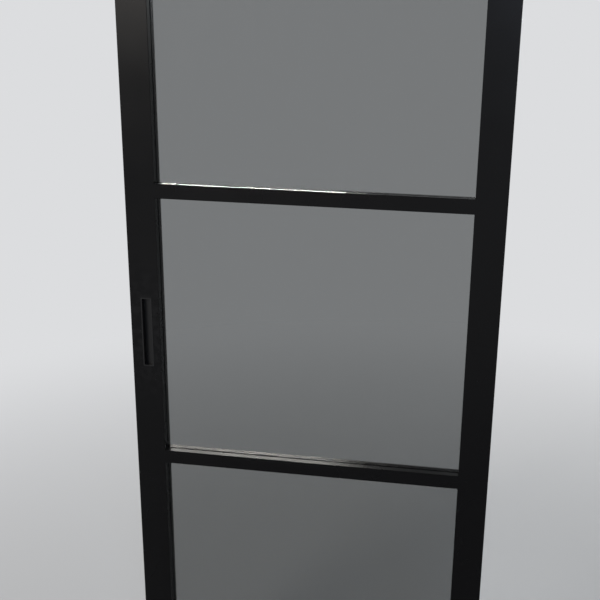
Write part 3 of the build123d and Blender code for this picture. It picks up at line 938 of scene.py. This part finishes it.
@dataclass
class Track:
    """The rail on the wall with its fascia, end caps, stops and buffers, and the guide on the floor."""

    shop: Workshop
    jack_thread: Thread = Thread(crest=3.0, root=2.45, pitch=1.0)
    jack_inset: float = 17.0
    jack_length: float = 30.0
    jack_above_stop: float = 9.2
    jack_collar: float = 3.6
    jack_chamfer: float = 0.5
    jack_point: float = 1.2
    jack_point_radius: float = 1.4
    socket_flats: float = 3.0
    socket_depth: float = 3.0

    def build(self) -> None:
        """Dresses what stays still when the leaf slides, and adds the stops' jack screws."""
        self.shop.dress(Slot.ALUMINIUM, "track_rail", "fascia")
        self.shop.dress(Slot.BLACK_NYLON, "end_cap_", "floor_guide")
        self.shop.dress(Slot.STEEL, "end_stop_")
        self.shop.dress(Slot.BUFFER, "buffer_")
        for side, outwards in (("left", -1), ("right", 1)):
            self.make_jack_screw(side, outwards)

    def make_jack_screw(self, side: str, outwards: int) -> None:
        """The set screw that jacks one stop off the roof of the channel, with its socket facing down.

        Args:
            side: The side of the track that the stop is on.
            outwards: The sign of X away from the leaf.
        """
        low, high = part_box(f"end_stop_{side}")
        struck = high.x if outwards < 0 else low.x
        axis = Vector((struck + outwards * self.jack_inset * MM, (low.y + high.y) / 2, 0.0))
        top = high.z / MM + self.jack_above_stop
        base = top - self.jack_length
        corner = self.socket_flats / 2 / math.cos(math.pi / 6)
        root = self.jack_thread.root
        form = bmesh.new()
        loft(form, [
            Ring(corner, base + self.socket_depth, Outline.HEXAGON),
            Ring(corner, base, Outline.HEXAGON),
            Ring(root, base),
            Ring(self.jack_thread.crest, base + self.jack_chamfer),
            Ring(self.jack_thread.crest, base + self.jack_collar),
            Ring(root, base + self.jack_collar),
        ], at_point(axis))
        loft(form, [
            Ring(root, top - self.jack_point),
            Ring(self.jack_point_radius, top),
        ], at_point(axis))
        self.jack_thread.wind(form, axis, (base + self.jack_collar) * MM, (top - self.jack_point) * MM)
        self.shop.place(f"stop_jack_screw_{side}", form, Slot.STEEL, Member.TRACK)


@dataclass(frozen=True)
class Softbox:
    """One rectangular softbox of the studio, which leaves no sharp image of itself in the glass.

    Places and sizes are in metres and the power in watts. The spread, in degrees, is what the grid on
    its front sets. One that is flagged off lights only the objects whose names start with some words.
    """

    name: str
    place: tuple[float, float, float]
    target: tuple[float, float, float]
    size: tuple[float, float]
    watts: float
    colour: str
    spread: float
    only: tuple[str, ...] = ()

    def hang(self) -> None:
        """Hangs the softbox and flags it off from what it mustn't light."""
        data = bpy.data.lights.new(self.name, "AREA")
        data.shape = "RECTANGLE"
        data.size, data.size_y = self.size
        data.energy = self.watts
        data.color = linear(self.colour)[:3]
        data.spread = math.radians(self.spread)
        data.cycles.use_multiple_importance_sampling = False
        box = bpy.data.objects.new(self.name, data)
        box.location = self.place
        aim = Vector(self.target) - Vector(self.place)
        box.rotation_euler = aim.to_track_quat("-Z", "Y").to_euler()
        box.visible_camera = False
        box.visible_transmission = False
        if self.only:
            lit = bpy.data.collections.new(f"{self.name}_receivers")
            for piece in bpy.data.objects:
                if piece.name.startswith(self.only):
                    lit.objects.link(piece)
            box.light_linking.receiver_collection = lit
        bpy.context.scene.collection.objects.link(box)


SOFTBOXES = (
    Softbox(
        "key_left", place=(-2.5, -3.3, 2.95), target=(-0.5, 0.0, 1.3), size=(1.25, 1.2),
        watts=44.0, colour="#fff9f2", spread=100.0,
    ),
    Softbox(
        "fill_right", place=(1.0, -3.9, 2.75), target=(-0.2, 0.0, 1.2), size=(1.3, 1.5),
        watts=18.0, colour="#d6e5ff", spread=100.0,
    ),
    Softbox(
        "back_fill", place=(0.9, 3.6, 2.7), target=(-0.3, 0.0, 1.1), size=(2.0, 1.8),
        watts=12.0, colour="#ffffff", spread=100.0,
    ),
    Softbox(
        "floor_wash", place=(-0.4, 2.2, 5.2), target=(-0.4, 2.8, 0.0), size=(4.0, 1.6),
        watts=175.0, colour="#ffffff", spread=150.0, only=(ROOM,),
    ),
    # Low behind the leaf, it grazes the ledges of the bars, which shine through the glass.
    Softbox(
        "ledge_light", place=(-1.1, 1.75, 1.6), target=(-0.58, 0.0, 1.05), size=(0.96, 0.4),
        watts=6.0, colour="#fff8f2", spread=60.0, only=LACQUERED,
    ),
)


@dataclass
class Studio:
    """A round room with a pale floor that curves up into its wall, and its soft lamps."""

    shadow_radius: float = 0.9
    even_radius: float = 3.6
    floor_radius: float = 5.2
    cove_radius: float = 1.6
    wall_top: float = 6.0
    steps: int = 96
    cove_steps: int = 12
    floor_colour: str = "#a8a9aa"
    floor_roughness: float = 0.95
    floor_specular: float = 0.1
    wall_colour: str = "#dcdddf"
    air_colour: str = "#ffffff"
    air_strength: float = 0.2

    def build(self) -> None:
        """Makes the room, the lamps and the air."""
        self.make_room()
        for softbox in SOFTBOXES:
            softbox.hang()
        world = bpy.data.worlds.new("studio_air")
        world.use_nodes = True
        air = world.node_tree.nodes["Background"]
        air.inputs["Color"].default_value = linear(self.air_colour)
        air.inputs["Strength"].default_value = self.air_strength
        bpy.context.scene.world = world

    def make_room(self) -> None:
        """Spins the floor, the cove and the wall round the middle of the studio."""
        room = bmesh.new()
        outline = [(0.0, 0.0), (self.floor_radius, 0.0)]
        for step in range(1, self.cove_steps + 1):
            angle = math.pi / 2 * step / self.cove_steps
            out = self.floor_radius + self.cove_radius * math.sin(angle)
            outline.append((out, self.cove_radius * (1 - math.cos(angle))))
        outline.append((self.floor_radius + self.cove_radius, self.wall_top))
        edge = [room.verts.new((out, 0.0, up)) for out, up in outline]
        lines = [room.edges.new(pair) for pair in zip(edge, edge[1:])]
        bmesh.ops.spin(
            room, geom=edge + lines, cent=(0, 0, 0), axis=(0, 0, 1), angle=2 * math.pi,
            steps=self.steps, use_merge=True,
        )
        bmesh.ops.remove_doubles(room, verts=room.verts, dist=ROOM_MERGE)
        bmesh.ops.recalc_face_normals(room, faces=room.faces)
        mesh = bpy.data.meshes.new(ROOM)
        room.to_mesh(mesh)
        room.free()
        mesh.shade_smooth()
        mesh.materials.append(self.make_paint())
        piece = bpy.data.objects.new(ROOM, mesh)
        bpy.context.scene.collection.objects.link(piece)

    def make_paint(self) -> bpy.types.Material:
        """Pale matt paint that keeps the shadows near the door, and turns to an even tone further out.

        The even tone is there for the camera, for gloss and for glass, and lights nothing.
        """
        graph = Graph("rolled_matt_paint")
        paint = graph.add("ShaderNodeBsdfPrincipled", {
            "Base Color": linear(self.floor_colour), "Roughness": self.floor_roughness,
            "Specular IOR Level": self.floor_specular,
        })
        tone = graph.add("ShaderNodeEmission", {"Color": linear(self.wall_colour), "Strength": 1.0})
        place = graph.add("ShaderNodeTexCoord").outputs["Object"]
        flat = graph.add("ShaderNodeVectorMath", {0: place, 1: (1.0, 1.0, 0.0)}, operation="MULTIPLY")
        away = graph.add("ShaderNodeVectorMath", {0: flat.outputs["Vector"]}, operation="LENGTH")
        far = graph.add("ShaderNodeMapRange", {
            "Value": away.outputs["Value"], "From Min": self.shadow_radius, "From Max": self.even_radius,
        }, interpolation_type="SMOOTHSTEP")
        rays = graph.add("ShaderNodeLightPath")
        straight = graph.add("ShaderNodeMath", {
            0: rays.outputs["Is Camera Ray"], 1: rays.outputs["Is Glossy Ray"],
        }, operation="MAXIMUM")
        seen = graph.add("ShaderNodeMath", {
            0: straight.outputs["Value"], 1: rays.outputs["Is Transmission Ray"],
        }, operation="MAXIMUM")
        share = graph.add("ShaderNodeMath", {
            0: seen.outputs["Value"], 1: far.outputs["Result"],
        }, operation="MULTIPLY")
        mix = graph.add("ShaderNodeMixShader", {
            0: share.outputs["Value"], 1: paint.outputs["BSDF"], 2: tone.outputs["Emission"],
        })
        graph.add("ShaderNodeOutputMaterial", {"Surface": mix.outputs["Shader"]})
        graph.material.cycles.emission_sampling = "NONE"
        return graph.material


@dataclass
class PhotographCamera:
    """The camera of the photograph, worked out from the leaf's edges in it.

    It stands a little to the right of the leaf's middle, above the pull, and looks down and left.
    """

    place: tuple[float, float, float] = (-0.0557, -1.718, 1.598)
    turned_left: float = 0.1238
    tipped_down: float = 0.2689
    rolled: float = 0.03127
    focal_pixels: float = 817.9
    centre_pixel: float = 376.7

    def build(self) -> None:
        """Makes the camera and gives it to the scene."""
        data = bpy.data.cameras.new("camera")
        data.sensor_width = SENSOR_MM
        data.lens = self.focal_pixels / IMAGE_SIDE * SENSOR_MM
        data.shift_x = (IMAGE_SIDE / 2 - self.centre_pixel) / IMAGE_SIDE
        camera = bpy.data.objects.new("camera", data)
        turn = Matrix.Rotation(self.turned_left, 4, "Z")
        tip = Matrix.Rotation(math.pi / 2 - self.tipped_down, 4, "X")
        roll = Matrix.Rotation(self.rolled, 4, "Z")
        camera.matrix_world = Matrix.Translation(self.place) @ turn @ tip @ roll
        bpy.context.scene.collection.objects.link(camera)
        bpy.context.scene.camera = camera


def main() -> None:
    """Dresses the door, adds its fasteners, and sets up the studio and the camera."""
    bpy.context.scene.view_settings.view_transform = "Standard"
    shop = Workshop()
    sections = (
        LeafFrame(shop), Glazing(shop), HangingGear(shop), Track(shop), Studio(), PhotographCamera(),
    )
    for section in sections:
        section.build()
        log.info("built %s", type(section).__name__)


if __name__ == "__main__":
    main()
